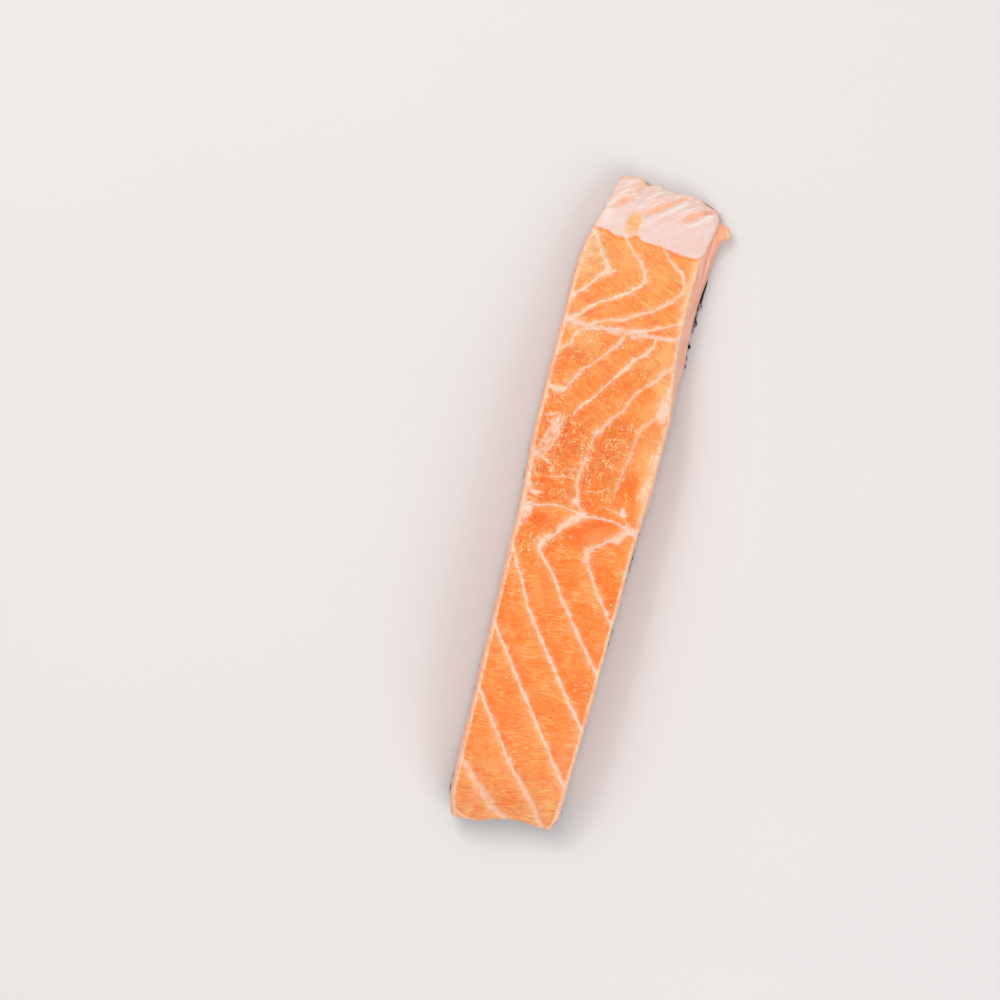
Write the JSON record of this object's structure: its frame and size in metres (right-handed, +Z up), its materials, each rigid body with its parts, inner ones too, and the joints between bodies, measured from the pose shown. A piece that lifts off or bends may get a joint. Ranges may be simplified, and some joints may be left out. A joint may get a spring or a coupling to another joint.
{
  "type": "skin-on salmon fillet",
  "caption": "Raw skin-on salmon portion cut across the fillet: orange flesh with pale muscle lines, a pale belly lining at the thin end, and dark silvery skin under it.",
  "frame": {"origin": "middle of the box's footprint, at the height of the surface that the skin lies on", "axes": "+Y along the portion towards the thin belly end, +X to the right across it, +Z up from the skin to the upper cut face"},
  "size_m": [0.042, 0.194, 0.024],
  "materials": {
    "raw_salmon_flesh": "moist raw salmon, orange with pale muscle lines, cream-pink lining on the belly end, dusky pink on the cut sides",
    "salmon_skin": "wet scaled skin, blue-grey at the back end and silvery at the belly end, near black at its cut edge"
  },
  "bodies": {
    "root": {"flesh": "raw_salmon_flesh", "skin": "salmon_skin"}
  },
  "joints": []
}
